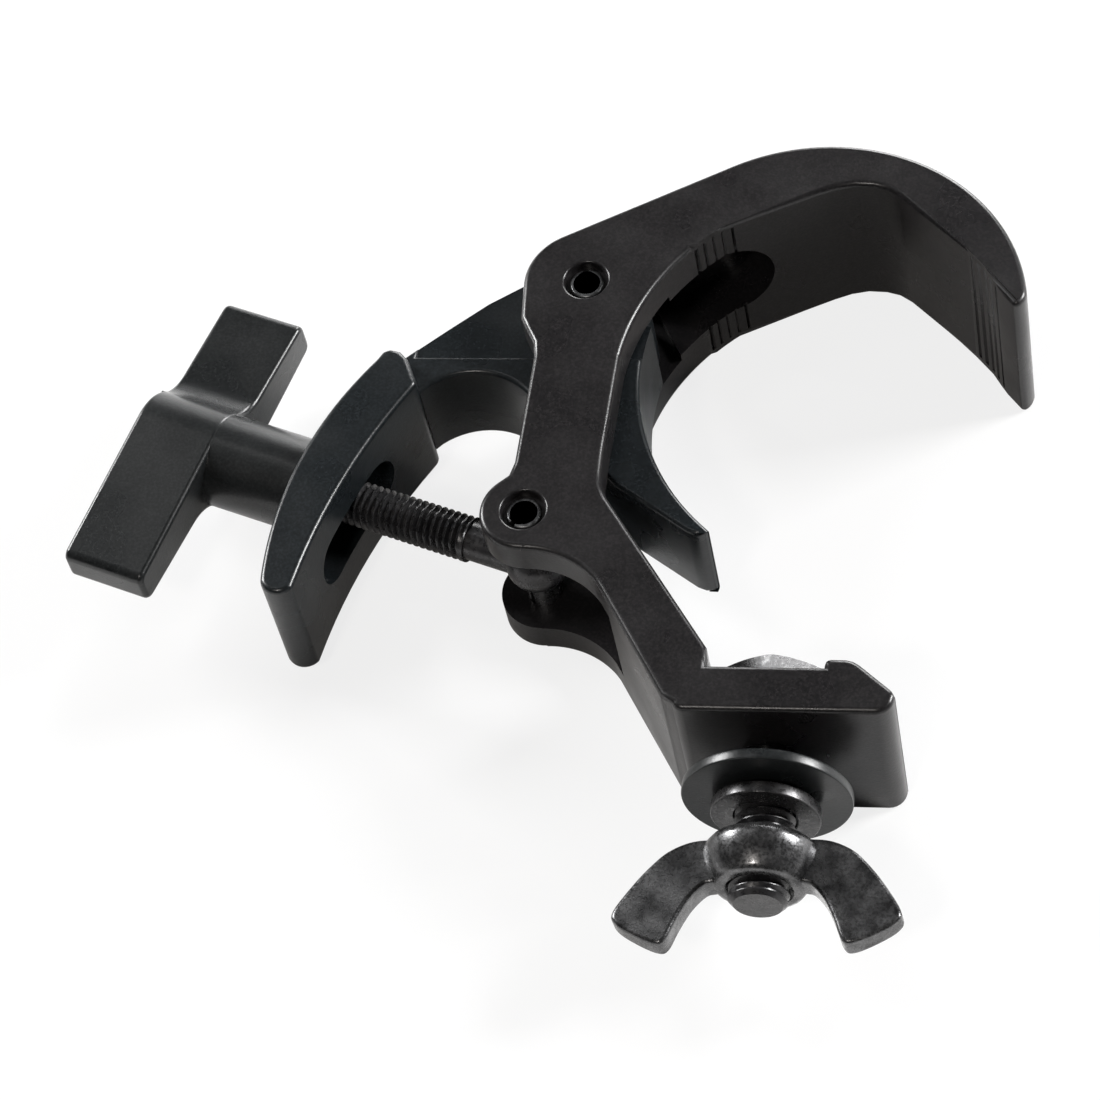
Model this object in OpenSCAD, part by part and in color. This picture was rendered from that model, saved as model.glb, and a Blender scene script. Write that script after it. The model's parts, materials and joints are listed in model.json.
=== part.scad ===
// Hook clamp for a round tube: hook body, swinging jaw with lever, swing bolt with a
// T handle, and a bolt with a wing nut on the foot. Millimetres. The tube runs along Z
// through the origin, and the clamp lies on one of its flat sides.

/* [Tube and body] */
// Diameter of the gripped tube, which sets the size of the outline
tube_d = 50; // [42:0.5:60]
// Width of the body along the tube
body_w = 32; // [26.5:0.5:40]
// Width of the slot between the two ears
slot_w = 19; // [15.5:0.5:23]
// Radius of the ears round the jaw pivot
jaw_ear_r = 11; // [10:0.1:12]
// Radius of the ears round the bolt pivot
bolt_ear_r = 7.5; // [7:0.1:9]

/* [Jaw and lever] */
// Width of the part of the lever that carries the swing bolt
lever_w = 25; // [20:0.5:31]
// Radius of the jaw's pivot hub
hub_r = 9.8; // [9:0.1:10.2]
// Depth of the milled faces beside the hub
hub_relief = 0.7; // [0.3:0.1:1]
// Length of the slot in the lever
lever_slot_l = 25; // [20:0.5:28]

/* [Pivots and swing bolt] */
// Diameter of the two pivot pins
pin_d = 6; // [5:0.1:7.2]
// Bore of the two tubular pivot pins
pin_bore = 3.8; // [2:0.1:4.4]
// Thread diameter of the swing bolt
rod_d = 8; // [6.5:0.1:9.6]
// Radius of the ball that the swing bolt's eye is made from
eye_r = 5.4; // [5:0.1:6.6]
// Thickness of the eye between its two flats
eye_w = 7.4; // [6:0.1:8]

/* [T handle] */
// Diameter of the handle's hub
knob_hub_d = 16.5; // [16:0.5:20]
// Length of the handle's hub from the lever to its outer face
knob_l = 33.2; // [29:0.2:39]
// Span of the handle over both wings
knob_span = 60; // [50:1:72]
// Width of each wing along the swing bolt
wing_w = 15.6; // [12:0.2:18]
// Thickness of each wing at its tip
wing_t = 7.2; // [6:0.1:8.8]

/* [Foot bolt] */
// Thread diameter of the foot bolt
bolt_d = 10; // [8.4:0.1:12]
// Length of the foot bolt under its head
bolt_l = 35; // [32:0.5:42]
// Diameter of the flat washer
washer_d = 28; // [24:0.5:30]
// Tip radius of the wing nut
nut_span_r = 23.5; // [20:0.5:28]

/* [Hidden] */
$fn = 96;
big = 200;
// how far a cut runs past what it cuts
over = 1;
// scale of the outlines, which are drawn for a 50 mm tube
k = tube_d / 50;

// Clearances
side_gap = 0.3;
run_gap = 0.05;
drill_gap = 0.5;
rest_gap = 0.3;

// Pivots
jaw_pivot = [-42.5, 6.6] * k;
bolt_pivot = [-48.3, -40.7] * k;
pin_l = body_w - 2;
bore_relief_d = pin_d + 1.6;
bore_relief_h = 1.6;
pin_slit = 0.8;

// Hook
hook_c = [-2.3, 0.2] * k;
hook_r = 35.6 * k;
// the straight back of the hook is tangent to the hook's arc and to the jaw ears' arc
hook_turn = atan2(jaw_pivot.y - hook_c.y, jaw_pivot.x - hook_c.x)
            - acos((hook_r - jaw_ear_r * k) / norm(jaw_pivot - hook_c));
sweep_c = [-47.5, -64.3] * k;
sweep_r = 16 * k;
throat_c = [6.1, -14.5] * k;
throat_r = 41.5 * k;
groove = 0.75;
groove_pitch = 1.9;
groove_stop = 1.2;

// The pocket that carries the slot into the hook. Its places are distances from the jaw pivot
// along the hook's straight back.
back_wall = 4;
pocket_w = slot_w - 2.8;
pocket_h = jaw_ear_r * k - back_wall;
slot_top_s = 8.5 * k;
slot_end_s = 12.5 * k;
pocket_end_s = 25.2 * k;

// Foot
foot_left = -20.5 * k;
foot_right = 15.5 * k;
foot_bottom = -78.4 * k;
foot_floor = 8.3;
channel_y = foot_bottom + foot_floor;
bolt_x = -5.6 * k;
hex_af = 1.7 * bolt_d;
head_h = 0.64 * bolt_d;
head_chamfer = 0.4;
head_chamfer_h = 3;
channel_w = hex_af + 2;
bolt_chamfer = 1;

// Swing bolt, whose axis runs from the bolt pivot to the lever
rod_turn = 160.8;
rod_l = 60.4 * k;
thread_from = 12.4;
neck_from = pin_d / 2 + 1;
neck_d = rod_d - 1;

// Lever: its outer face is an arc whose centre lies on the swing bolt's axis
lever_back = 27.9 * k;
lever_r = 70.5 * k;
lever_c = bolt_pivot - lever_back * [cos(rod_turn), sin(rod_turn)];
lever_s = lever_r - lever_back;
lever_slot_w = rod_d + 1.8;
lever_slot_up = 9;
jaw_w = slot_w - 2 * side_gap;
relief_y = -4.7 * k;

// Handle, in the swing bolt's own direction
knob_s = lever_s + rest_gap;
thrust_d = rod_d + 5;
thrust_t = 1.2;
insert_d = rod_d + 3.6;
insert_l = rod_d;
insert_s = knob_s + thrust_t + rest_gap;
wing_rise = 5.5;
wing_fillet = 8;
handle_bore = rod_d + 2.6;
ring_t = 1;
ring_d = handle_bore - 0.8;
ring_groove_d = rod_d - 1.4;
ring_s = rod_l - 2.2;

// Foot bolt hardware, from the foot down
washer_t = 2;
washer_gap = 5.6;
washer_y = foot_bottom - washer_gap;
spring_t = 2.2;
spring_d = 1.8 * bolt_d;
spring_split = 1.2;
spring_slant = 25;
spring_gap = 1.2;
spring_y = washer_y - washer_t - spring_gap;
nut_gap = 4.4;
nut_y = spring_y - spring_t - nut_gap;
nut_h = 8.6;
nut_top_d = 1.9 * bolt_d;
nut_low_d = 1.45 * bolt_d;
nut_wing_t = 5;
nut_turn = 4;

function at(c, r, a) = c + r * [cos(a), sin(a)];
function by_back(s, h) = at(jaw_pivot, h, hook_turn) + s * [sin(hook_turn), -cos(hook_turn)];
function arc(c, r, a0, a1, n) = [for (i = [0 : n]) at(c, r, a0 + (a1 - a0) * i / n)];

// Extrudes an outline to a width centred on the clamp's middle plane
module slab(w) {
  translate([0, 0, -w / 2]) linear_extrude(w) children();
}

// Places children on the swing bolt: its axis becomes +X and the distance is s
module on_rod(s) {
  translate([bolt_pivot.x, bolt_pivot.y, 0]) rotate([0, 0, rod_turn]) translate([s, 0, 0]) children();
}

// A cylinder along the swing bolt from s to s + l
module rod_cyl(s, l, d) {
  on_rod(s) rotate([0, 90, 0]) cylinder(d = d, h = l);
}

// A cylinder along the foot bolt, from y down by l
module foot_cyl(y, l, d) {
  translate([bolt_x, y, 0]) rotate([90, 0, 0]) cylinder(d = d, h = l);
}

// Grooves across a gripping face, from a point on it in a direction
module grooves(from, turn, n) {
  for (i = [0 : n - 1])
    translate(at(from, i * groove_pitch, turn)) rotate(turn + 45) square(groove, center = true);
}

// Side view of the body, anticlockwise from the tip of the hook
module body_outline() {
  polygon(concat(
    [[31.4, 0.9] * k],
    arc(hook_c, hook_r, 4.7, hook_turn, 40),
    arc(jaw_pivot, jaw_ear_r * k, hook_turn, 184, 16),
    [[-53.1, -1.2], [-51.9, -3.6], [-50.4, -6.4], [-50, -9.4], [-50.9, -31], [-51.6, -33.6]] * k,
    arc(bolt_pivot, bolt_ear_r * k, 132, 271.9, 24),
    arc(sweep_c, sweep_r, 91.9, 35.6, 16),
    [[foot_left - 1.6, -75.8 * k]],
    arc([foot_left + 2.2, foot_bottom + 2], 2, 200, 270, 6),
    arc([foot_right - 3, foot_bottom + 3], 3, 270, 380, 8),
    [[foot_right - 6, channel_y + 0.7], [foot_right - 7, channel_y + 1.3],
     [foot_right - 8.2, channel_y + 1.6],
     [bolt_x + channel_w / 2, channel_y + 1.6], [bolt_x + channel_w / 2, channel_y],
     [bolt_x - channel_w / 2, channel_y], [bolt_x - channel_w / 2, channel_y + 1.7],
     [bolt_x - channel_w / 2 - 0.3, channel_y + 3.6 * k]],
    [[-34.6, -37.9], [-35.7, -35.5], [-36, -33], [-36, -28.4], [-35.1, -9.2]] * k,
    arc(throat_c, throat_r, 172.6, 129.1, 24),
    [[-3.4, 25.3], [-0.4, 26.5], [2.6, 27.1], [5.8, 26.9], [8.2, 26.2], [10.4, 24.7], [22.4, 13.3],
     [25.6, 9.5], [28.8, 4.1]] * k));
}

// The slot between the ears. Past the jaw's hub it narrows to a pocket milled from the throat, with a
// wall left at the hook's back.
module slot_cut() {
  slab(slot_w)
    polygon(concat([[-80, 45], [-80, -66], [-45, -66], [-33.3, -57.6], [-20, -48.1]] * k,
      [by_back(slot_end_s, -14 * k), by_back(slot_end_s, pocket_h), by_back(slot_top_s, pocket_h),
       by_back(slot_top_s, 60 * k)]));
  slab(pocket_w)
    polygon([by_back(slot_end_s - over, -14 * k), by_back(pocket_end_s, -14 * k),
             by_back(pocket_end_s, pocket_h), by_back(slot_end_s - over, pocket_h)]);
  translate(concat(by_back(pocket_end_s, pocket_h), 0)) rotate([0, 0, hook_turn - 90]) rotate([90, 0, 0])
    cylinder(d = pocket_w, h = 40 * k);
}

// A pin bore through both ears with a wider mouth on each flat side
module pin_bore_cut(p) {
  translate([p.x, p.y, 0]) cylinder(d = pin_d, h = body_w + 2 * over, center = true);
  for (side = [-1, 1])
    translate([p.x, p.y, side * body_w / 2])
      cylinder(d = bore_relief_d, h = 2 * bore_relief_h, center = true);
}

module body() {
  color([0.12, 0.12, 0.13])
    difference() {
      slab(body_w) body_outline();
      slab(body_w - 2 * groove_stop) {
        grooves([-24.2, 13.9] * k, 40, 5);
        grooves([23.4, 12.3] * k, -54, 5);
      }
      slot_cut();
      pin_bore_cut(jaw_pivot);
      pin_bore_cut(bolt_pivot);
      foot_cyl(channel_y + over, foot_floor + 2 * over, bolt_d + drill_gap);
    }
}

// A rolled tubular pin with its slit
module pivot_pin(p, slit_turn) {
  color([0.35, 0.36, 0.38])
    translate([p.x, p.y, 0]) difference() {
      cylinder(d = pin_d, h = pin_l, center = true);
      cylinder(d = pin_bore, h = pin_l + 2 * over, center = true);
      rotate(slit_turn) translate([pin_d / 2, 0, 0]) cube([pin_d, pin_slit, pin_l + 2 * over], center = true);
    }
}

module jaw_pivot_pin() {
  pivot_pin(jaw_pivot, 100);
}

module bolt_pivot_pin() {
  pivot_pin(bolt_pivot, 230);
}

// The jaw and the part of the lever that runs between the ears
module jaw_outline() {
  polygon(concat(
    [[-18, -39.9] * k],
    arc([11.4, -7.2] * k, 44 * k, 228, 168, 24),
    arc(jaw_pivot, hub_r * k, -25, 117, 24),
    [[-55.3, 10.4], [-60.7, 6.8], [-67.2, 1.3], [-74.4, -5], [-75.4, -13], [-71, -12.6]] * k,
    arc([-61.3, -21] * k, 12.9 * k, 130, 43, 16),
    [[-34.6, -31.2], [-21.8, -40.2], [-20.3, -40.8], [-18.8, -40.7]] * k));
}

// The wide part of the lever
module lever_outline() {
  polygon(concat(
    arc(lever_c, lever_r, 142.9, 181.4, 24),
    arc([-89.2, -52.2] * k, 3.2 * k, 180, 325, 12),
    arc([27, -74.1] * k, 115.3 * k, 169.3, 148.6, 12),
    [[-70.5, -12.6], [-72.8, -7.4], [-74.2, -5.9], [-76, -5.3], [-77.4, -5.8]] * k));
}

module jaw_lever() {
  color([0.13, 0.14, 0.15])
    difference() {
      union() {
        slab(jaw_w) jaw_outline();
        slab(lever_w) lever_outline();
      }
      translate([jaw_pivot.x, jaw_pivot.y, 0])
        cylinder(d = pin_d + 2 * run_gap, h = big, center = true);
      // milled faces beside the hub
      for (side = [-1, 1])
        translate([-72 * k, relief_y, side * (jaw_w / 2 + big / 2 - hub_relief) - big / 2])
          cube([big, big, big]);
      // slot for the swing bolt
      on_rod(lever_s - 30) rotate([0, 90, 0]) linear_extrude(60) {
        for (end = [0, lever_slot_l - lever_slot_w])
          translate([0, end + lever_slot_w / 2 - lever_slot_up]) circle(d = lever_slot_w);
        translate([-lever_slot_w / 2, lever_slot_w / 2 - lever_slot_up])
          square([lever_slot_w, lever_slot_l - lever_slot_w]);
      }
    }
}

module eye_bolt() {
  color([0.1, 0.1, 0.11])
    difference() {
      union() {
        intersection() {
          translate([bolt_pivot.x, bolt_pivot.y, 0]) sphere(r = eye_r);
          translate([bolt_pivot.x, bolt_pivot.y, 0]) cube([big, big, eye_w], center = true);
        }
        rod_cyl(neck_from, thread_from - neck_from + over, neck_d);
        difference() {
          rod_cyl(thread_from, rod_l - thread_from, rod_d);
          // groove for the ring
          difference() {
            rod_cyl(ring_s, ring_t, rod_d + over);
            rod_cyl(ring_s - over, ring_t + 2 * over, ring_groove_d);
          }
        }
      }
      translate([bolt_pivot.x, bolt_pivot.y, 0])
        cylinder(d = pin_d + 2 * run_gap, h = big, center = true);
    }
}

// The ring at the end of the swing bolt, which keeps the handle on
module rod_end_ring() {
  color([0.3, 0.3, 0.32])
    difference() {
      rod_cyl(ring_s, ring_t, ring_d);
      rod_cyl(ring_s - over, ring_t + 2 * over, ring_groove_d);
    }
}

// The washer let into the end of the handle's hub, which bears on the lever
module thrust_washer() {
  color([0.5, 0.5, 0.52])
    difference() {
      rod_cyl(knob_s, thrust_t, thrust_d);
      rod_cyl(knob_s - over, thrust_t + 2 * over, rod_d + 2 * run_gap);
    }
}

// Half of the handle's S shape, seen along the swing bolt
module wing_outline() {
  reach = knob_span / 2;
  root = knob_hub_d / 2;
  high = wing_t - wing_rise;
  fillet_y = sqrt((root + wing_fillet) ^ 2 - (high + wing_fillet) ^ 2);
  // one face of the wing is tangent to the hub
  tangent = atan2(reach, -wing_rise) + acos(root / norm([wing_rise, reach]));
  difference() {
    polygon([at([0, 0], root, tangent), [-wing_rise, reach], [root - over, reach], [root - over, 0]]);
    translate([high + wing_fillet, fillet_y]) circle(wing_fillet);
    translate([high, fillet_y]) square([root, reach]);
  }
}

module knob_handle() {
  color([0.12, 0.13, 0.14])
    difference() {
      union() {
        rod_cyl(knob_s, knob_l, knob_hub_d);
        on_rod(knob_s + knob_l - wing_w) rotate([0, 90, 0]) linear_extrude(wing_w)
          for (turn = [0, 180]) rotate(turn) wing_outline();
      }
      rod_cyl(knob_s - over, over + thrust_t + drill_gap, thrust_d + drill_gap);
      rod_cyl(insert_s, insert_l, insert_d);
      rod_cyl(knob_s + over, knob_l, handle_bore);
    }
}

// The threaded bush pressed into the handle
module knob_insert() {
  color([0.6, 0.52, 0.3])
    difference() {
      rod_cyl(insert_s, insert_l, insert_d);
      rod_cyl(insert_s - over, insert_l + 2 * over, rod_d + 2 * run_gap);
    }
}

module mounting_bolt() {
  color([0.08, 0.08, 0.09]) {
    foot_cyl(channel_y, bolt_l - bolt_chamfer, bolt_d);
    translate([bolt_x, channel_y - bolt_l + bolt_chamfer, 0]) rotate([90, 0, 0])
      cylinder(d1 = bolt_d, d2 = bolt_d - 2 * bolt_chamfer, h = bolt_chamfer);
    intersection() {
      translate([bolt_x, channel_y, 0]) rotate([-90, 0, 0]) rotate(90)
        cylinder(d = hex_af / cos(30), h = head_h, $fn = 6);
      // the chamfer turned on the head's corners
      translate([bolt_x, channel_y, 0]) rotate([-90, 0, 0])
        rotate_extrude()
          polygon([[0, 0], [hex_af, 0], [hex_af, head_h - head_chamfer_h],
                   [hex_af / 2 - head_chamfer, head_h], [0, head_h]]);
    }
  }
}

module flat_washer() {
  color([0.12, 0.13, 0.14])
    difference() {
      foot_cyl(washer_y, washer_t, washer_d);
      foot_cyl(washer_y + over, washer_t + 2 * over, bolt_d + drill_gap);
    }
}

// A split spring washer
module spring_washer() {
  color([0.1, 0.1, 0.1])
    difference() {
      foot_cyl(spring_y, spring_t, spring_d);
      foot_cyl(spring_y + over, spring_t + 2 * over, bolt_d + drill_gap);
      translate([bolt_x, spring_y - spring_t / 2, -spring_d / 2]) rotate([0, 0, spring_slant])
        cube([spring_split, 2 * spring_t, spring_d], center = true);
    }
}

// One wing of the wing nut, as an outline beside the bolt's axis
module nut_wing() {
  tip = nut_span_r;
  polygon([[6, -0.6], [nut_top_d / 2 - 0.4, -0.3], [0.5 * tip, -0.8], [0.64 * tip, -2.4],
           [0.75 * tip, -4.9], [0.85 * tip, -8.1], [tip, -13.4], [0.95 * tip, -15.4], [0.67 * tip, -19],
           [0.6 * tip, -18.8], [0.54 * tip, -14.8], [0.47 * tip, -11.4], [nut_low_d / 2 - 0.4, -nut_h + 0.6],
           [6, -nut_h + 1]]);
}

module wing_nut() {
  color([0.14, 0.14, 0.15])
    difference() {
      union() {
        translate([bolt_x, nut_y, 0]) rotate([90, 0, 0]) cylinder(d1 = nut_top_d, d2 = nut_low_d, h = nut_h);
        translate([bolt_x, nut_y, 0]) rotate([0, -nut_turn, 0]) slab(nut_wing_t)
          for (side = [0, 1]) mirror([side, 0]) nut_wing();
      }
      foot_cyl(nut_y + over, nut_h + 2 * over, bolt_d + 2 * run_gap);
    }
}

body();
jaw_pivot_pin();
bolt_pivot_pin();
jaw_lever();
eye_bolt();
rod_end_ring();
thrust_washer();
knob_handle();
knob_insert();
mounting_bolt();
flat_washer();
spring_washer();
wing_nut();
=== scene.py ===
"""Looks of the hook clamp: castings, threads, washers, wing nut, paint, metal, floor, lights and camera.

Lengths are in metres, in the CAD model's frame. A size written in millimetres is multiplied by MM.
"""

import json
import math

import bmesh
import bpy
from mathutils import Matrix, Vector

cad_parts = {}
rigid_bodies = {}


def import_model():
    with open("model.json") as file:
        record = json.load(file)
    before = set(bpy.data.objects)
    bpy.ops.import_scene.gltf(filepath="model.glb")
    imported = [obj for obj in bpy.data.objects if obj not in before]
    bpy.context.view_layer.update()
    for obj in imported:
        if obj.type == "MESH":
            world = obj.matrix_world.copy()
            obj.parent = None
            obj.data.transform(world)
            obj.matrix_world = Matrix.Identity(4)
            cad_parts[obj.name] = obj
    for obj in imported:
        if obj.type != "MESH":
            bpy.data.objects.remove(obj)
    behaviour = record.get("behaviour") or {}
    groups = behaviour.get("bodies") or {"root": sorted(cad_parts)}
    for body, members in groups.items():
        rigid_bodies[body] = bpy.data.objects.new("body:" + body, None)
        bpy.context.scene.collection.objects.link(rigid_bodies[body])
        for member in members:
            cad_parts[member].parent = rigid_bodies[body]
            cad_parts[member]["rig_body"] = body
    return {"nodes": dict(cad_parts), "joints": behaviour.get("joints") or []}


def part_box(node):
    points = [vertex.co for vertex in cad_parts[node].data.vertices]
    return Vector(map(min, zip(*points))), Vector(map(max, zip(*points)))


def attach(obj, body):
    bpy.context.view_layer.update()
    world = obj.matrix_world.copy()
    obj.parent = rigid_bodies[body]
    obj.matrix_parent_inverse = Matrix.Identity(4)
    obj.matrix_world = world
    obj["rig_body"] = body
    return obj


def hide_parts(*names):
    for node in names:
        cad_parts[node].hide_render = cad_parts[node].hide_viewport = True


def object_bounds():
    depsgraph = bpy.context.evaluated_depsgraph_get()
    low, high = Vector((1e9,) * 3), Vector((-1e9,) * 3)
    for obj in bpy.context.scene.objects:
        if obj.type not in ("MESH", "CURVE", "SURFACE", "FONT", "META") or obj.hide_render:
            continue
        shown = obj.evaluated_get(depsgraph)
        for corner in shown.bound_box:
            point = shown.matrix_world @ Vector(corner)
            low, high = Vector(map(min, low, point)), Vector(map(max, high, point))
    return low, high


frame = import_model()
cad_lo, cad_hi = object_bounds()

MM = 0.001
JOINTS = {j["name"]: j for j in frame["joints"]}
JAW_PIVOT = Vector(JOINTS["jaw_swing"]["pos_m"])
BOLT_PIVOT = Vector(JOINTS["bolt_swing"]["pos_m"])
ROD_AXIS = Vector(JOINTS["handle_turn"]["axis"]).normalized()
FOOT_AXIS = Vector(JOINTS["wing_nut_turn"]["pos_m"])

# metric threads: radius and pitch
M8_RADIUS, M8_PITCH = 4 * MM, 1.25 * MM
M10_RADIUS, M10_PITCH = 5 * MM, 1.5 * MM


def place(origin, x_axis, y_axis, z_axis):
    """The matrix that takes local points to the frame."""
    turn = Matrix((x_axis, y_axis, z_axis)).transposed()
    return Matrix.Translation(origin) @ turn.to_4x4()


UP = Vector((0, 0, 1))
# local X is up, local Y is the way the handle's upper wing points, local Z runs along the swing bolt
ROD_PLACE = place(BOLT_PIVOT, UP, ROD_AXIS.cross(UP), ROD_AXIS)


def foot_place(y):
    """Local X is across, local Y is up and local Z runs along the foot bolt, down from y."""
    return place(Vector((FOOT_AXIS.x, y, 0)), Vector((1, 0, 0)), UP, Vector((0, -1, 0)))


# ---------------------------------------------------------------- mesh helpers


def node_mesh(node):
    """The CAD node's mesh with its doubled points joined and its flat faces made whole."""
    bm = bmesh.new()
    bm.from_mesh(frame["nodes"][node].data)
    bmesh.ops.remove_doubles(bm, verts=bm.verts, dist=2e-6)
    bmesh.ops.dissolve_limit(bm, angle_limit=math.radians(0.4), verts=bm.verts, edges=bm.edges)
    return bm


def middle(edge):
    return (edge.verts[0].co + edge.verts[1].co) / 2


def round_edges(bm, width, chosen, segments=3, least=35):
    """Rounds every outward edge sharper than least degrees that chosen accepts."""
    edges = [e for e in bm.edges if len(e.link_faces) == 2 and e.is_convex
             and e.calc_face_angle() > math.radians(least) and chosen(e)]
    bmesh.ops.bevel(bm, geom=edges, offset=width, offset_type="OFFSET", segments=segments, profile=0.5,
                    affect="EDGES", clamp_overlap=False)
    bmesh.ops.remove_doubles(bm, verts=bm.verts, dist=5e-6)


def smooth(bm, least=32):
    """Shades the mesh smooth, with the edges sharper than least degrees kept sharp."""
    bm.normal_update()
    for face in bm.faces:
        face.smooth = True
    for edge in bm.edges:
        edge.smooth = len(edge.link_faces) == 2 and edge.calc_face_angle() < math.radians(least)


def new_object(name, bm):
    """A linked object that holds the mesh."""
    mesh = bpy.data.meshes.new(name)
    bm.to_mesh(mesh)
    bm.free()
    obj = bpy.data.objects.new(name, mesh)
    bpy.context.scene.collection.objects.link(obj)
    return obj


def combined(bm, tool, operation):
    """The mesh after a boolean with the tool's mesh. Both are used up."""
    obj = new_object("work", bm)
    other = new_object("tool", tool)
    modifier = obj.modifiers.new("cut", "BOOLEAN")
    modifier.operation = operation
    modifier.solver = "EXACT"
    modifier.object = other
    shaped = obj.evaluated_get(bpy.context.evaluated_depsgraph_get())
    result = bmesh.new()
    result.from_mesh(shaped.to_mesh())
    for done in (obj, other):
        bpy.data.objects.remove(done)
    return result


def make_piece(name, node, bm, material):
    """Turns the mesh into a piece that stands for the CAD node and rides on its body."""
    smooth(bm)
    obj = new_object(name, bm)
    weighted = obj.modifiers.new("normals", "WEIGHTED_NORMAL")
    weighted.keep_sharp = True
    obj.data.materials.append(material)
    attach(obj, frame["nodes"][node]["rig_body"])
    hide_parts(node)


def grid(rings, closed_along=False):
    """A mesh skin over rings of points. The rings are closed, and so is the row of rings if asked."""
    bm = bmesh.new()
    rows = [[bm.verts.new(p) for p in ring] for ring in rings]
    pairs = list(zip(rows, rows[1:]))
    if closed_along:
        pairs.append((rows[-1], rows[0]))
    for a, b in pairs:
        for i in range(len(a)):
            j = (i + 1) % len(a)
            bm.faces.new((a[i], a[j], b[j], b[i]))
    if not closed_along:
        bm.faces.new(list(reversed(rows[0])))
        bm.faces.new(rows[-1])
    bmesh.ops.recalc_face_normals(bm, faces=bm.faces)
    return bm


def arc(cx, cy, radius, start, end, steps):
    """Points on an arc, with its angles in degrees."""
    turns = [math.radians(start + (end - start) * i / steps) for i in range(steps + 1)]
    return [(cx + radius * math.cos(t), cy + radius * math.sin(t)) for t in turns]


def turned(profile, where, sides=96):
    """A solid turned from (radius, height) points, placed by the matrix."""
    circle = [(math.cos(2 * math.pi * i / sides), math.sin(2 * math.pi * i / sides)) for i in range(sides)]
    bm = grid([[(r * c, r * s, h) for c, s in circle] for r, h in profile])
    bmesh.ops.transform(bm, matrix=where, verts=bm.verts)
    return bm


def prism(outline, low, high, rim, where, segments=4):
    """An outline extruded from low to high with both rims rounded, placed by the matrix."""
    bm = grid([[(x, y, low) for x, y in outline], [(x, y, high) for x, y in outline]])
    rims = [e for e in bm.edges if abs(e.verts[0].co.z - e.verts[1].co.z) < 1e-7]
    bmesh.ops.bevel(bm, geom=rims, offset=rim, offset_type="OFFSET", segments=segments, profile=0.5,
                    affect="EDGES", clamp_overlap=False)
    bmesh.ops.transform(bm, matrix=where, verts=bm.verts)
    return bm


def spline(a, b, c, d, t):
    """A Catmull-Rom curve's value between b and c."""
    square = (2 * a - 5 * b + 4 * c - d) * t ** 2
    cube = (3 * b - a - 3 * c + d) * t ** 3
    return 0.5 * (2 * b + (c - a) * t + square + cube)


def flowing(points, steps=5):
    """A closed outline that runs smoothly through the points."""
    result = []
    for i, here in enumerate(points):
        before, after, beyond = points[i - 1], points[(i + 1) % len(points)], points[(i + 2) % len(points)]
        for j in range(steps):
            t = j / steps
            result.append(tuple(spline(*row, t) for row in zip(before, here, after, beyond)))
    return result


def thread_cutter(axis_from, along, radius, pitch, length):
    """The helical groove of a metric thread round an axis, deeper towards its middle from both ends."""
    depth = 0.6 * pitch
    half_root, half_top = 0.07 * pitch, 0.44 * pitch
    outer = radius + 0.3 * MM
    steps_per_turn = 30
    turns = length / pitch
    rings = []
    for i in range(round(turns * steps_per_turn) + 1):
        turn = i / steps_per_turn
        runout = min(1, turn / 0.5, (turns - turn) / 0.15 + 0.25)
        root = radius - depth * max(runout, 0.02)
        angle = 2 * math.pi * turn
        section = [(root, -half_root), (root, half_root), (radius, half_top), (outer, half_top),
                   (outer, -half_top), (radius, -half_top)]
        rings.append([(r * math.cos(angle), r * math.sin(angle), turn * pitch + z) for r, z in section])
    bm = grid(rings)
    where = Matrix.Translation(axis_from) @ Vector(along).to_track_quat("Z", "Y").to_matrix().to_4x4()
    bmesh.ops.transform(bm, matrix=where, verts=bm.verts)
    return bm


# ---------------------------------------------------------------- materials


def node_tree(name):
    """A new material with its nodes, links and shader."""
    material = bpy.data.materials.new(name)
    material.use_nodes = True
    nodes = material.node_tree.nodes
    return material, nodes, material.node_tree.links, nodes["Principled BSDF"]


def noise(nodes, links, feature, detail, rough=0.5):
    """Noise in the object's own space with features about that long."""
    where = nodes.get("Texture Coordinate") or nodes.new("ShaderNodeTexCoord")
    made = nodes.new("ShaderNodeTexNoise")
    made.inputs["Scale"].default_value = 1 / feature
    made.inputs["Detail"].default_value = detail
    made.inputs["Roughness"].default_value = rough
    links.new(where.outputs["Object"], made.inputs["Vector"])
    return made.outputs["Fac"]


def ramp(nodes, links, source, low, high, at=(0.35, 0.65)):
    """A colour ramp from low to high over the source."""
    made = nodes.new("ShaderNodeValToRGB")
    made.color_ramp.elements[0].position = at[0]
    made.color_ramp.elements[0].color = (*low, 1)
    made.color_ramp.elements[1].position = at[1]
    made.color_ramp.elements[1].color = (*high, 1)
    links.new(source, made.inputs["Fac"])
    return made.outputs["Color"]


def spread(nodes, links, source, low, high, at=(0.35, 0.65)):
    """The source's range at, mapped to low and high."""
    made = nodes.new("ShaderNodeMapRange")
    made.inputs["From Min"].default_value = at[0]
    made.inputs["From Max"].default_value = at[1]
    made.inputs["To Min"].default_value = low
    made.inputs["To Max"].default_value = high
    links.new(source, made.inputs["Value"])
    return made.outputs["Result"]


def bump(nodes, links, layers):
    """Bump nodes in a chain, one for each (height, distance, strength)."""
    normal = None
    for height, distance, strength in layers:
        made = nodes.new("ShaderNodeBump")
        made.inputs["Distance"].default_value = distance
        made.inputs["Strength"].default_value = strength
        links.new(height, made.inputs["Height"])
        if normal:
            links.new(normal, made.inputs["Normal"])
        normal = made.outputs["Normal"]
    return normal


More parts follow.
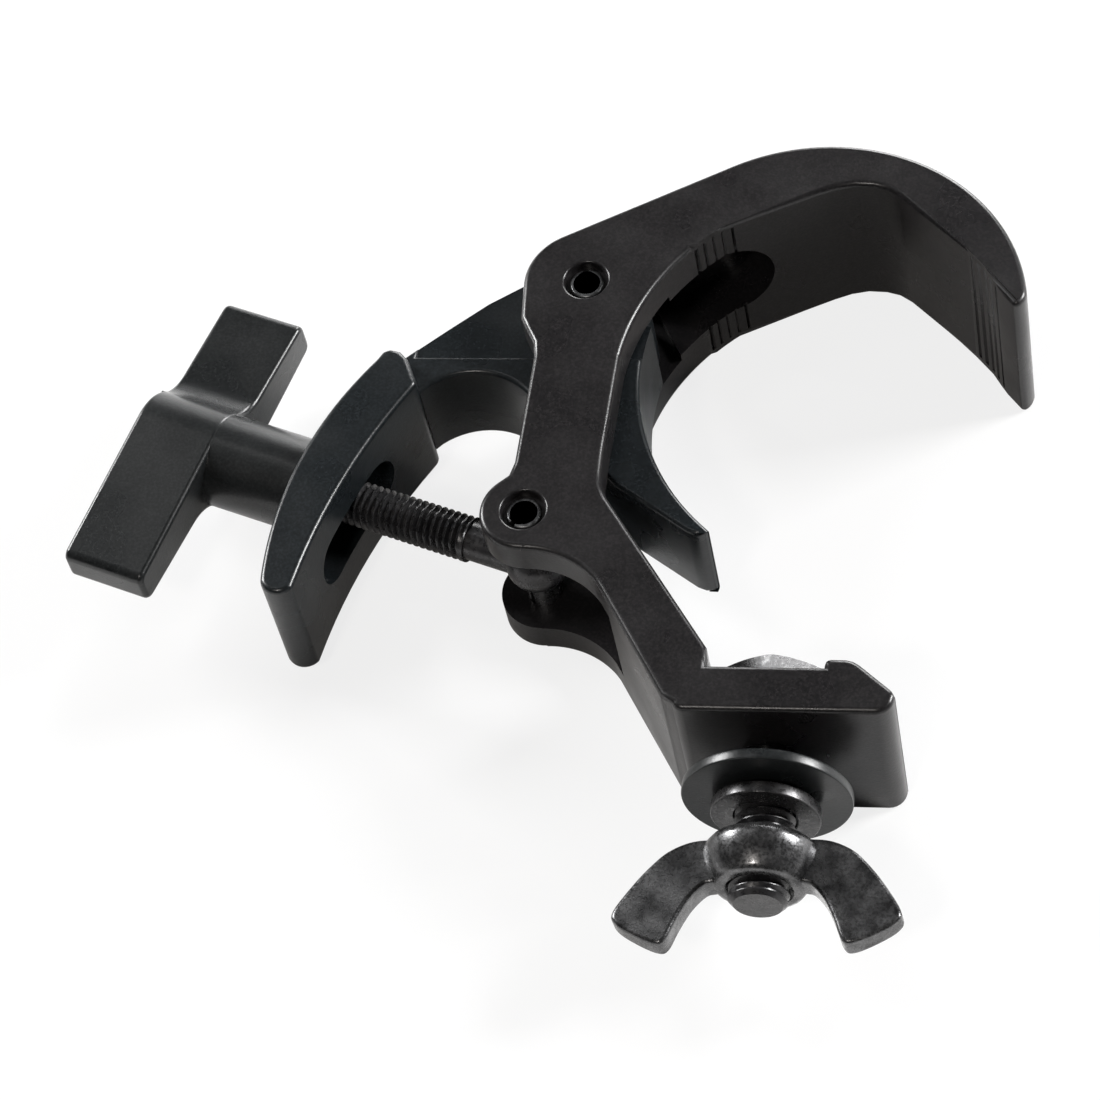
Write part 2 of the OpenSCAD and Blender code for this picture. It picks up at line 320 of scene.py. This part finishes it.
def paint(name, dark, light, rough, grain=0.5):
    """Satin powder coat on a casting: a fine grain over a slow waviness, with a faint speckle."""
    material, nodes, links, shader = node_tree(name)
    fine = noise(nodes, links, 0.45 * MM, 2)
    wavy = noise(nodes, links, 2.2 * MM, 2)
    patch = noise(nodes, links, 14 * MM, 3)
    links.new(ramp(nodes, links, fine, dark, light, (0.4, 0.72)), shader.inputs["Base Color"])
    links.new(spread(nodes, links, patch, rough - 0.04, rough + 0.05), shader.inputs["Roughness"])
    links.new(bump(nodes, links, [(fine, 0.03 * MM, grain), (wavy, 0.06 * MM, 0.3)]), shader.inputs["Normal"])
    shader.inputs["Specular IOR Level"].default_value = 0.3
    return material


def metal(name, dark, light, rough, metallic, pits=0.3, feature=0.8 * MM):
    """Blackened or bare metal with blotches and small pits."""
    material, nodes, links, shader = node_tree(name)
    fine = noise(nodes, links, feature, 4, 0.6)
    patch = noise(nodes, links, 3.5 * MM, 4)
    links.new(ramp(nodes, links, patch, dark, light), shader.inputs["Base Color"])
    links.new(spread(nodes, links, fine, rough - 0.08, rough + 0.12), shader.inputs["Roughness"])
    links.new(bump(nodes, links, [(fine, 0.04 * MM, pits), (patch, 0.15 * MM, 0.3)]), shader.inputs["Normal"])
    shader.inputs["Metallic"].default_value = metallic
    return material


body_paint = paint("body_paint", (0.0045, 0.0042, 0.0045), (0.0110, 0.0100, 0.0105), 0.30)
lever_paint = paint("lever_paint", (0.0034, 0.0044, 0.0050), (0.0085, 0.0105, 0.0120), 0.29)
handle_paint = paint("handle_paint", (0.0042, 0.0047, 0.0050), (0.0100, 0.0110, 0.0112), 0.30)
washer_paint = paint("washer_paint", (0.0050, 0.0058, 0.0062), (0.0115, 0.0128, 0.0132), 0.30)
black_oxide = metal("black_oxide", (0.010, 0.010, 0.011), (0.024, 0.023, 0.024), 0.30, 0.35)
black_plate = metal("black_plate", (0.035, 0.035, 0.036), (0.110, 0.110, 0.112), 0.26, 0.85, 0.6, 0.55 * MM)
spring_steel = metal("spring_steel", (0.015, 0.015, 0.016), (0.040, 0.039, 0.040), 0.28, 0.6)
pin_steel = metal("pin_steel", (0.060, 0.062, 0.064), (0.150, 0.152, 0.155), 0.30, 0.9)
plain_steel = metal("plain_steel", (0.32, 0.32, 0.33), (0.46, 0.46, 0.47), 0.35, 1.0)
brass = metal("brass", (0.45, 0.31, 0.12), (0.60, 0.43, 0.18), 0.35, 1.0)

# ---------------------------------------------------------------- castings


HOOK_TIP = Vector((32.3, 2.0)) * MM
HOOK_TIP_REACH = 1.8 * MM
GROOVE_BANDS = [Vector((-20.5, 16.8)) * MM, Vector((25.6, 9.2)) * MM]
GROOVE_REACH = 5.6 * MM
BORE_REACH = 4.5 * MM
JAW_HALF_WIDTH = 9.2 * MM


def on_flat(edge, half_width):
    """Whether the edge lies on one of the two flat sides at that distance from the middle plane."""
    return all(abs(abs(v.co.z) - half_width) < 0.02 * MM for v in edge.verts)


def near(edge, point, radius):
    """Whether the edge's middle is that close to the point, seen along the width."""
    return (middle(edge).xy - point.xy).length <= radius


def in_grooves(edge):
    """Whether the edge is beside the gripping grooves of the hook."""
    return any(near(edge, band, GROOVE_REACH) for band in GROOVE_BANDS)


def at_bores(edge):
    """Whether the edge is at the mouth of one of the two pin bores."""
    return near(edge, JAW_PIVOT, BORE_REACH) or near(edge, BOLT_PIVOT, BORE_REACH)


def make_body():
    """The hook body: a rounder tip, a rounded outline and broken bore edges."""
    bm = node_mesh("body")
    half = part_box("body")[1].z

    def outline(edge):
        return on_flat(edge, half) and not at_bores(edge) and not in_grooves(edge)

    def bore_mouth(edge):
        return on_flat(edge, half) and at_bores(edge)

    def hook_tip(edge):
        upright = (edge.verts[0].co - edge.verts[1].co).normalized().z
        return abs(upright) > 0.99 and near(edge, HOOK_TIP, HOOK_TIP_REACH)

    round_edges(bm, 1.2 * MM, hook_tip, 5)
    round_edges(bm, 1.0 * MM, outline)
    round_edges(bm, 0.45 * MM, bore_mouth, 3)
    make_piece("hook_body", "body", bm, body_paint)


def make_jaw_lever():
    """The jaw and its wider lever, each with the edges of its flat sides rounded."""
    bm = node_mesh("jaw_lever")
    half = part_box("jaw_lever")[1].z
    round_edges(bm, 1.0 * MM, lambda e: on_flat(e, half))
    round_edges(bm, 0.8 * MM, lambda e: on_flat(e, JAW_HALF_WIDTH))
    make_piece("jaw_and_lever", "jaw_lever", bm, lever_paint)


HUB_R = 8.25 * MM
WING_NEAR = 5.5 * MM
WING_FAR = 1.7 * MM


def wing_bar_outline(reach):
    """The T handle's S shape along the swing bolt: tapered wings that flow over the round hub."""
    soft, corner = 8 * MM, 1.8 * MM
    core = HUB_R + 0.1 * MM
    far_y = math.sqrt((core + soft) ** 2 - (WING_FAR + soft) ** 2)
    far_turn = math.degrees(math.atan2(far_y, WING_FAR + soft))
    lean = math.degrees(math.atan2(core - WING_NEAR, reach))
    half = arc(-WING_FAR + corner, -reach + corner, corner, 180, 270, 5)
    half += arc(WING_NEAR - corner, -reach + corner, corner, 270, 360 - lean, 5)
    half += arc(0, 0, core, -lean, far_turn, 20)
    half += arc(WING_FAR + soft, far_y, soft, 180 + far_turn, 180, 10)
    return half + [(-x, -y) for x, y in half]


def along_rod(node):
    """Where the node starts and ends along the swing bolt."""
    spots = [(v.co - BOLT_PIVOT).dot(ROD_AXIS) for v in frame["nodes"][node].data.vertices]
    return min(spots), max(spots)


def make_handle():
    """The T handle: a turned hub and a bar with two wings, hollowed for the bolt, bush and washer."""
    start, end = along_rod("knob_handle")
    insert_start, insert_end = along_rod("knob_insert")
    thrust_end = along_rod("thrust_washer")[1]
    to_rod = ROD_PLACE.inverted()
    points = [to_rod @ v.co for v in frame["nodes"]["knob_handle"].data.vertices]
    reach = max(p.y for p in points)
    wing_start = min(p.z for p in points if p.y > reach - 1 * MM)
    edge = 0.6 * MM
    hub = turned([(HUB_R - edge, start), (HUB_R - 0.2 * edge, start + 0.2 * edge), (HUB_R, start + edge),
                  (HUB_R, wing_start + 1.5 * MM)], ROD_PLACE)
    bar = prism(wing_bar_outline(reach), wing_start, end, 0.9 * MM, ROD_PLACE)
    bore, seat, pocket = 5.3 * MM, 5.8 * MM, 6.75 * MM
    pocket_end = thrust_end + 0.5 * MM
    mouth = 0.5 * MM
    hollow = turned([(pocket, start - 1 * MM), (pocket, pocket_end), (bore, pocket_end),
                     (bore, insert_start), (seat, insert_start), (seat, insert_end), (bore, insert_end),
                     (bore, end - mouth), (bore + mouth, end), (bore + mouth, end + 1 * MM)], ROD_PLACE)
    bm = combined(combined(bar, hub, "UNION"), hollow, "DIFFERENCE")
    make_piece("t_handle", "knob_handle", bm, handle_paint)


# ---------------------------------------------------------------- fasteners


def make_eye_bolt():
    """The swing bolt with its thread cut from past the eye to near its end."""
    bm = node_mesh("eye_bolt")
    start, length = 12.6 * MM, 45.5 * MM
    cutter = thread_cutter(BOLT_PIVOT + start * ROD_AXIS, ROD_AXIS, M8_RADIUS, M8_PITCH, length)
    bm = combined(bm, cutter, "DIFFERENCE")
    make_piece("swing_bolt", "eye_bolt", bm, black_oxide)


def make_mounting_bolt():
    """The hexagon bolt with its thread cut from its end upwards."""
    bm = node_mesh("mounting_bolt")
    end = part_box("mounting_bolt")[0].y
    start, length = Vector((FOOT_AXIS.x, end + 0.6 * MM, 0)), 25.5 * MM
    cutter = thread_cutter(start, (0, 1, 0), M10_RADIUS, M10_PITCH, length)
    bm = combined(bm, cutter, "DIFFERENCE")
    make_piece("hexagon_bolt", "mounting_bolt", bm, black_oxide)


def make_spring_washer():
    """A split ring whose two ends spring apart, centred on the CAD ring's height."""
    outer, inner, thick, rise = 9 * MM, 5.25 * MM, 2.2 * MM, 1.0 * MM
    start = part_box("spring_washer")[1].y + rise / 2
    corner = 0.3 * MM
    steps, gap = 90, math.radians(7)
    section = arc(outer - corner, corner, corner, -90, 0, 3)
    section += arc(outer - corner, thick - corner, corner, 0, 90, 3)
    section += arc(inner + corner, thick - corner, corner, 90, 180, 3)
    section += arc(inner + corner, corner, corner, 180, 270, 3)
    rings = []
    for i in range(steps + 1):
        turn = math.radians(-90) - gap - (2 * math.pi - gap) * i / steps
        lift = rise * i / steps
        rings.append([(r * math.cos(turn), r * math.sin(turn), h + lift) for r, h in section])
    bm = grid(rings)
    bmesh.ops.transform(bm, matrix=foot_place(start), verts=bm.verts)
    make_piece("lock_washer_ring", "spring_washer", bm, spring_steel)


def make_flat_washer():
    """A punched washer: one face with a rolled edge, the other with a small burr."""
    lowest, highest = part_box("flat_washer")
    outer, inner, thick = 14 * MM, 5.25 * MM, highest.y - lowest.y
    profile = [(outer - 0.7 * MM, 0), (outer - 0.3 * MM, 0.1 * MM), (outer - 0.06 * MM, 0.35 * MM),
               (outer, 0.7 * MM), (outer, thick - 0.3 * MM), (outer - 0.1 * MM, thick - 0.08 * MM),
               (outer - 0.3 * MM, thick)]
    disc = turned(profile, foot_place(highest.y), 160)
    hole = turned([(inner, -MM), (inner, thick + MM)], foot_place(highest.y))
    make_piece("plain_washer", "flat_washer", combined(disc, hole, "DIFFERENCE"), washer_paint)


def make_wing_nut():
    """A cast wing nut: a barrel hub and two wings that thin out towards their tips."""
    lowest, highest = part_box("wing_nut")
    turn = math.radians(4)
    where = foot_place(highest.y) @ Matrix.Rotation(turn, 4, "Z")
    tip = (highest.x - lowest.x) / 2 / math.cos(turn) - 0.1 * MM
    height = 8.6 * MM
    barrel = [(6.2, 0), (7.6, 0.3), (8.7, 0.9), (9.35, 1.8), (9.45, 2.8),
              (9.1, 4.4), (8.5, 6), (7.8, 7.5), (7.3, 8.2)]
    hub = turned([(r * MM, h * MM) for r, h in barrel] + [(6.4 * MM, height)], where)
    bore, mouth = 5.05 * MM, 5.6 * MM
    hollow = turned([(mouth, -MM), (mouth, 0.1 * MM), (bore, 0.7 * MM), (bore, height - 0.7 * MM),
                     (mouth, height - 0.1 * MM), (mouth, height + MM)], where)
    inner = 6.3 * MM
    under = [(inner, 0.9), (8.6 * MM, 0.4), (0.5 * tip, 0.8), (0.64 * tip, 2.4), (0.75 * tip, 4.9),
             (0.86 * tip, 8.2)]
    wing_end = [(0.985 * tip, 13), (0.96 * tip, 15.2), (0.82 * tip, 17.4), (0.67 * tip, 18.9)]
    over = [(0.6 * tip, 18.3), (0.54 * tip, 14.8), (0.465 * tip, 11.2), (0.37 * tip, 8.6), (inner, 7.4)]
    outline = flowing([(x, y * MM) for x, y in under + wing_end + over])
    half_thick, thinning = 2.5 * MM, 0.26
    body = hub
    for side in (0, math.pi):
        wing = prism([(x, -y) for x, y in outline], -half_thick, half_thick, 0.75 * MM, Matrix())
        for vertex in wing.verts:
            vertex.co.z *= 1 - thinning * (vertex.co.x - inner) / (tip - inner)
        flip = Matrix.Rotation(math.radians(-90), 4, "X")
        bmesh.ops.transform(wing, matrix=where @ Matrix.Rotation(side, 4, "Z") @ flip, verts=wing.verts)
        body = combined(body, wing, "UNION")
    make_piece("butterfly_nut", "wing_nut", combined(body, hollow, "DIFFERENCE"), black_plate)


def make_simple(name, node, width, material, segments=2):
    """A small part whose every sharp edge is rounded by one width."""
    bm = node_mesh(node)
    round_edges(bm, width, lambda e: True, segments)
    make_piece(name, node, bm, material)


make_body()
make_jaw_lever()
make_handle()
make_eye_bolt()
make_mounting_bolt()
make_flat_washer()
make_spring_washer()
make_wing_nut()
make_simple("upper_pin", "jaw_pivot_pin", 0.45 * MM, pin_steel, 3)
make_simple("lower_pin", "bolt_pivot_pin", 0.45 * MM, pin_steel, 3)
make_simple("retaining_ring", "rod_end_ring", 0.15 * MM, spring_steel)
make_simple("bearing_washer", "thrust_washer", 0.15 * MM, plain_steel)
make_simple("threaded_bush", "knob_insert", 0.15 * MM, brass)

# ---------------------------------------------------------------- stage


def make_floor():
    """A white sweep. The camera sees it nearly unshaded, and the clamp sees it as the lights shade it."""
    bm = bmesh.new()
    bmesh.ops.create_grid(bm, x_segments=1, y_segments=1, size=4)
    floor = new_object("floor", bm)
    floor.location.z = cad_lo.z
    material, nodes, links, shader = node_tree("floor_white")
    shader.inputs["Base Color"].default_value = (0.8, 0.8, 0.8, 1)
    shader.inputs["Roughness"].default_value = 0.9
    glow = nodes.new("ShaderNodeEmission")
    glow.inputs["Strength"].default_value = 0.95
    both = nodes.new("ShaderNodeMixShader")
    seen = nodes.new("ShaderNodeLightPath")
    share = spread(nodes, links, seen.outputs["Is Camera Ray"], 0, 0.85, (0, 1))
    links.new(share, both.inputs["Fac"])
    links.new(shader.outputs["BSDF"], both.inputs[1])
    links.new(glow.outputs["Emission"], both.inputs[2])
    links.new(both.outputs["Shader"], nodes["Material Output"].inputs["Surface"])
    floor.data.materials.append(material)


def make_world():
    """Faint white light from all round."""
    world = bpy.data.worlds.new("studio")
    world.use_nodes = True
    world.node_tree.nodes["Background"].inputs["Color"].default_value = (1, 1, 1, 1)
    world.node_tree.nodes["Background"].inputs["Strength"].default_value = 0.06
    bpy.context.scene.world = world


def add_softbox(name, spot, size, power, tint=(1, 1, 1)):
    """A square area light that faces the clamp."""
    light = bpy.data.lights.new(name, "AREA")
    light.shape = "SQUARE"
    light.size = size
    light.energy = power
    light.color = tint
    obj = bpy.data.objects.new(name, light)
    obj.location = spot
    obj.rotation_euler = (-Vector(spot)).to_track_quat("-Z", "Y").to_euler()
    bpy.context.scene.collection.objects.link(obj)


def make_camera():
    """The photograph's view, with a long lens."""
    spot = (0.0735, -0.3938, 0.5566)
    azimuth, elevation, roll = math.radians(18.632), math.radians(56.032), math.radians(-14.976)
    spin = Matrix.Rotation(azimuth, 4, "Z")
    tilt = Matrix.Rotation(math.pi / 2 - elevation, 4, "X")
    data = bpy.data.cameras.new("camera")
    data.lens = 129.53
    data.sensor_width = 36
    data.clip_end = 20
    camera = bpy.data.objects.new("camera", data)
    turn = spin @ tilt @ Matrix.Rotation(roll, 4, "Z")
    camera.matrix_world = Matrix.Translation(spot) @ turn
    bpy.context.scene.collection.objects.link(camera)
    bpy.context.scene.camera = camera


make_floor()
make_world()
add_softbox("right_box", (1.05, 0.4, 0.6), 0.4, 38)
add_softbox("left_box", (-1.05, 0.45, 0.55), 0.4, 26)
add_softbox("front_box", (-0.25, -0.75, 0.95), 0.15, 5.5, (1, 0.95, 0.9))
add_softbox("top_box", (-0.36, 0.27, 1.0), 0.16, 0.4)
add_softbox("back_box", (0.15, 1.25, 0.36), 0.6, 20)
make_camera()
bpy.context.scene.view_settings.view_transform = "Standard"
